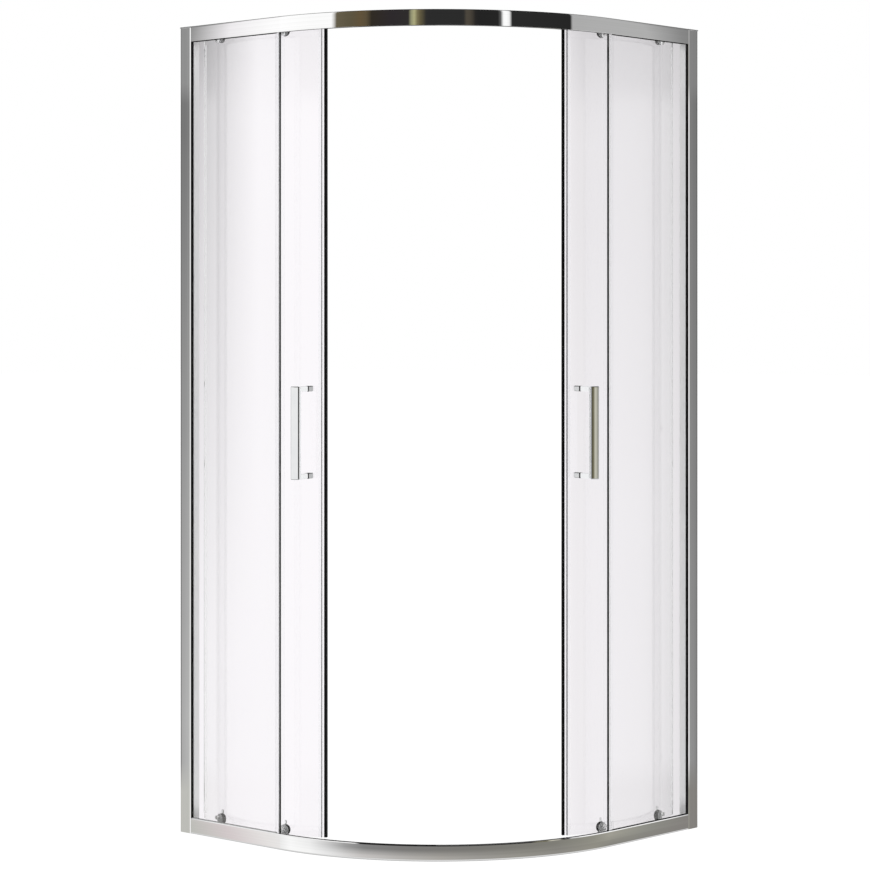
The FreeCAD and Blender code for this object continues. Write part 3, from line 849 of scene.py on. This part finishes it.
# what stands round the object, by angle from the camera's side, right hand positive, and by
# the height at which a reflected ray meets the wall
highTones = [
    (-111, 0.2), (-88.9, 0.2), (-88.6, 0.31), (-87.76, 0.46), (-87.64, (0.89, 0.87, 0.89)),
    (-86.4, (0.92, 0.9, 0.92)), (-85.6, 1.04), (-52.2, 1.0), (-51.8, (0.138, 0.118, 0.075)),
    (-43, (0.109, 0.092, 0.055)), (-38, (0.122, 0.088, 0.045)), (-34, (0.1, 0.078, 0.045)),
    (-33.4, (0.032, 0.026, 0.018)), (-22, (0.028, 0.024, 0.027)), (-13.0, (0.03, 0.028, 0.027)),
    (-12.5, (0.43, 0.43, 0.25)), (-10.8, (0.44, 0.42, 0.22)), (-10.5, (0.25, 0.225, 0.12)),
    (-8.5, (0.13, 0.11, 0.058)), (-5.5, 0.027), (12.6, 0.026), (13.6, (0.078, 0.067, 0.052)),
    (16, (0.07, 0.06, 0.046)), (18.5, 0.018), (30.8, 0.02), (32.4, 1.04), (35.0, 1.04), (36.2, 0.025),
    (69.0, 0.02), (69.6, 0.43), (97.6, 0.45), (98.85, 0.17),
]
middleTones = [
    (-142, 0.03), (-138, 0.55), (-113, 0.8), (-108, 0.8), (-104, 0.1), (-89.6, 0.1), (-89.2, 0.22),
    (-88.5, 0.22), (-88.0, 0.85), (-63.5, 0.88), (-40.5, 0.86), (-38.5, 0.02), (47, 0.012),
    (49, (0.15, 0.14, 0.09)), (55.5, (0.17, 0.16, 0.1)), (57, (0.62, 0.6, 0.5)), (62, (0.42, 0.41, 0.35)),
    (64, 0.02), (67.5, 0.02), (69, 0.6), (73, 0.75), (76, 1.0), (97.5, 1.0), (98.2, 0.265), (99.3, 0.265),
    (99.7, 0.06), (114, 0.06), (116, 0.8), (123, 0.8), (127, 0.56),
]
lowTones = [
    (-142, 0.03), (-138, 0.72), (-113, 0.85), (-108, 0.85), (-104, 0.12), (-89.6, 0.12), (-89.2, 0.52),
    (-88.5, 0.52), (-88.0, 0.9), (-63.5, 0.9), (-40.5, 0.86), (-38.5, 0.02), (47, 0.012),
    (49, (0.15, 0.14, 0.09)), (55.5, (0.17, 0.16, 0.1)), (57, (0.62, 0.6, 0.5)), (62, (0.42, 0.41, 0.35)),
    (64, 0.02), (67.5, 0.02), (69, 0.6), (73, 0.75), (76, 1.0), (97.5, 1.0), (98.2, 0.37), (99.3, 0.37),
    (99.7, 0.08), (114, 0.08), (116, 0.8), (123, 0.8), (127, 0.58),
]
footTones = [  # seen at the upper edge of the bottom rail
    (-92, (0.52, 0.52, 0.49)), (-87.9, (0.54, 0.54, 0.51)), (-87.6, (0.66, 0.6, 0.61)),
    (-86.6, (0.7, 0.63, 0.63)), (-86.2, (0.77, 0.69, 0.66)), (-85.6, 0.84), (-78.0, 0.98), (-66, 0.88),
    (-56, 0.62), (-46, 0.36), (-36, 0.23), (-18, (0.205, 0.2, 0.195)), (20, (0.2, 0.195, 0.18)),
    (60, (0.225, 0.22, 0.195)), (84, (0.29, 0.285, 0.245)), (96.0, (0.37, 0.36, 0.31)),
    (96.8, (0.29, 0.292, 0.26)), (98.8, (0.235, 0.222, 0.21)), (116, 0.2), (180, 0.2),
]
baseTones = [  # and at its lower edge
    (-92, (0.52, 0.52, 0.49)), (-87.9, (0.54, 0.54, 0.51)), (-87.6, (0.66, 0.6, 0.61)),
    (-86.6, (0.7, 0.63, 0.63)), (-86.2, (0.77, 0.69, 0.66)), (-85.6, 0.84), (-78.0, 1.0), (-66, 0.96),
    (-54, 0.8), (-38, (0.6, 0.58, 0.57)), (-18, (0.47, 0.455, 0.44)), (0, (0.4, 0.385, 0.36)),
    (20, (0.34, 0.33, 0.31)), (41, (0.31, 0.3, 0.27)), (63, (0.27, 0.26, 0.24)), (84, (0.3, 0.29, 0.25)),
    (96.0, (0.24, 0.235, 0.21)), (98.8, (0.235, 0.222, 0.21)), (116, 0.2), (180, 0.2),
]


def stagePiece(name, bm, material):
    mesh = bpy.data.meshes.new(name)
    bm.to_mesh(mesh)
    bm.free()
    mesh.materials.append(material)
    mesh.shade_smooth()
    piece = bpy.data.objects.new(name, mesh)
    scene.collection.objects.link(piece)
    return piece


def roomTurn(finish):
    # angle round the middle of the bend, 0 to 1, and the height
    fromBend = finish.add("ShaderNodeMapping", {}, {
        "Vector": finish.where(), "Location": (-enclosure["bendX"] * mm, -enclosure["bendY"] * mm, 0),
    })
    parts = finish.add("ShaderNodeSeparateXYZ", {}, {0: fromBend.outputs[0]})
    y = finish.number(parts, "Y")
    facing = y.join("ARCTAN2", y, finish.number(parts, "X")) * (180 / math.pi) + (90 - cameraPlace["azimuth"]) + 180
    return facing.join("WRAP", facing, 360.0) / 360, finish.number(parts, "Z")


def makeFloor():
    finish = newFinish("studioFloor")
    path = finish.add("ShaderNodeLightPath")
    camera = finish.number(path, "Is Camera Ray")
    glow = finish.add("ShaderNodeEmission", {}, {"Color": tone(1.0), "Strength": camera * 0.90})
    matt = finish.add("ShaderNodeBsdfDiffuse", {}, {"Color": tone(studio["floorTone"])})
    both = finish.add("ShaderNodeAddShader", {}, {0: glow.outputs[0], 1: matt.outputs[0]})
    finish.add("ShaderNodeOutputMaterial", {}, {"Surface": both.outputs[0]})
    bm = bmesh.new()
    bmesh.ops.create_grid(bm, x_segments=1, y_segments=1, size=studio["floorReach"])
    bmesh.ops.translate(bm, vec=(0, 0, -studio["floorDrop"]), verts=bm.verts)
    floor = stagePiece("studioFloor", bm, finish.owner)
    floor.visible_glossy = False
    floor.visible_transmission = False


def onlyInMetal(piece):
    # a card that only reflections see
    piece.visible_camera = False
    piece.visible_diffuse = False
    piece.visible_transmission = False
    piece.visible_shadow = False


def makeRoomWall():
    finish = newFinish("roomWall")
    turn, height = roomTurn(finish)

    def tones(listed):
        stops = [((degrees + 180) / 360, color) for degrees, color in listed]
        return finish.add("ShaderNodeValToRGB", {"stops": stops}, {"Fac": turn}).outputs[0]

    def above(low, high, under, over):
        # under fades into over between two heights
        return finish.blendColors(finish.spread(height, 0, 1, low, high), under, over)

    belt = above(-0.8, 2.2, tones(lowTones), tones(middleTones))
    foot = above(-1.50, -1.28, tones(baseTones), tones(footTones))
    foot = above(-1.9, -1.7, tone(0.72), foot)
    lower = above(-1.15, -1.0, foot, belt)
    color = above(2.35, 2.45, lower, tones(highTones))
    glow = finish.add("ShaderNodeEmission", {}, {"Color": color, "Strength": 1.0})
    finish.add("ShaderNodeOutputMaterial", {}, {"Surface": glow.outputs[0]})
    bm = bmesh.new()
    bmesh.ops.create_circle(bm, cap_ends=False, segments=180, radius=studio["wallRadius"])
    made = bmesh.ops.extrude_edge_only(bm, edges=list(bm.edges))["geom"]
    bmesh.ops.translate(bm, vec=(0, 0, studio["wallTop"] - studio["wallFoot"]), verts=onlyVerts(made))
    bmesh.ops.translate(bm, vec=(0, 0, studio["wallFoot"]), verts=bm.verts)
    onlyInMetal(stagePiece("roomWall", bm, finish.owner))
    for name, level, shade in (("roomCeiling", "wallTop", 0.02), ("roomBase", "wallFoot", 0.45)):
        finish = newFinish(name)
        mottle = finish.noise((0.5, 0.5, 0.5), 2.0)
        glow = finish.add("ShaderNodeEmission", {}, {
            "Color": finish.blendColors(mottle, tone(shade * 0.8), tone(shade)), "Strength": 1.0,
        })
        finish.add("ShaderNodeOutputMaterial", {}, {"Surface": glow.outputs[0]})
        bm = bmesh.new()
        bmesh.ops.create_circle(bm, cap_ends=True, segments=90, radius=studio["wallRadius"] + 0.1)
        bmesh.ops.translate(bm, vec=(0, 0, studio[level]), verts=bm.verts)
        onlyInMetal(stagePiece(name, bm, finish.owner))


def makeBackdrop():
    # a pale cloth behind the glass, with painted shade, darker towards its sides and top, most at the upper corners
    finish = newFinish("backdrop")
    parts = finish.add("ShaderNodeSeparateXYZ", {}, {0: finish.where()})
    across = finish.number(parts, "X")
    height = finish.number(parts, "Z")
    leftSide = finish.spread(across, 1, 0, -0.80, -0.60)
    leftHigh = finish.spread(height, 0.03, 0.40, 0.1, 2.1)
    leftTop = finish.spread(height, 0, 0.14, 1.95, 2.2)
    rightSide = finish.spread(across, 0, 1, 0.38, 0.50)
    rightEdge = finish.spread(across, 0, 0.05, 0.62, 0.80)
    rightHigh = finish.spread(height, 0, 0.06, 0.6, 1.6)
    rightTop = finish.spread(height, 0, 0.06, 1.8, 2.2)
    leftPaintedShade = leftSide * (leftHigh + leftTop)
    rightPaintedShade = rightSide * (0.11 + rightHigh + rightTop + rightEdge)
    topPaintedShade = finish.spread(height, 0, 0.09, 1.9, 2.25)
    # lit: what is left of the glow after the painted shade is taken off
    lit = 1 - leftPaintedShade - rightPaintedShade - topPaintedShade
    weave = finish.noise((3.0, 3.0, 3.0), 2.0)
    color = finish.blendColors(finish.spread(weave, 0, 1), tone((1.0, 0.975, 1.0)), tone((0.995, 0.97, 0.995)))
    shade = finish.add(
        "ShaderNodeMix", {"data_type": "RGBA", "blend_type": "MULTIPLY"},
        {0: 1.0, 6: color, 7: finish.blendColors(lit, tone(0.0), tone(1.0))},
    )
    glow = finish.add("ShaderNodeEmission", {}, {"Color": shade.outputs[2], "Strength": 1.0})
    finish.add("ShaderNodeOutputMaterial", {}, {"Surface": glow.outputs[0]})
    bm = bmesh.new()
    wide = studio["backdropWide"] / 2
    low, high = studio["backdropLow"], studio["backdropHigh"]
    bm.faces.new([bm.verts.new(corner) for corner in (
        (-wide, 0, low), (wide, 0, low), (wide, 0, high), (-wide, 0, high),
    )])
    cloth = stagePiece("backdrop", bm, finish.owner)
    turn = math.radians(cameraPlace["azimuth"])
    behind = cameraPlace["away"] + studio["backdropAway"]
    camera = scene.camera.location
    cloth.rotation_euler = (0, 0, turn)
    cloth.location = (camera.x - math.sin(turn) * behind, camera.y + math.cos(turn) * behind, 0)
    cloth.visible_camera = False
    cloth.visible_diffuse = False
    cloth.visible_glossy = False
    cloth.visible_shadow = False


def makeLamps():
    for name, (place, power) in studio["lamps"].items():
        data = bpy.data.lights.new(name, "AREA")
        data.energy = power
        data.shape = "SQUARE"
        data.size = studio["lampSize"]
        lamp = bpy.data.objects.new(name, data)
        lamp.location = place
        aim = Vector((0, 0, 0.9)) - Vector(place)
        lamp.rotation_euler = aim.to_track_quat("-Z", "Y").to_euler()
        lamp.visible_glossy = False
        lamp.visible_transmission = False
        scene.collection.objects.link(lamp)


def makeWorld():
    world = bpy.data.worlds.new("studioWorld")
    scene.world = world
    finish = Finish(world)
    path = finish.add("ShaderNodeLightPath")
    seen = finish.number(path, "Is Camera Ray").orMore(finish.number(path, "Is Transmission Ray"))
    seen = seen.orMore(finish.number(path, "Is Glossy Ray"))
    sky = finish.add("ShaderNodeBackground", {}, {"Color": tone(1.0), "Strength": seen * 0.25 + 0.75})
    finish.add("ShaderNodeOutputWorld", {}, {"Surface": sky.outputs[0]})


makeFloor()
makeRoomWall()
makeBackdrop()
makeLamps()
makeWorld()
print("studio made")
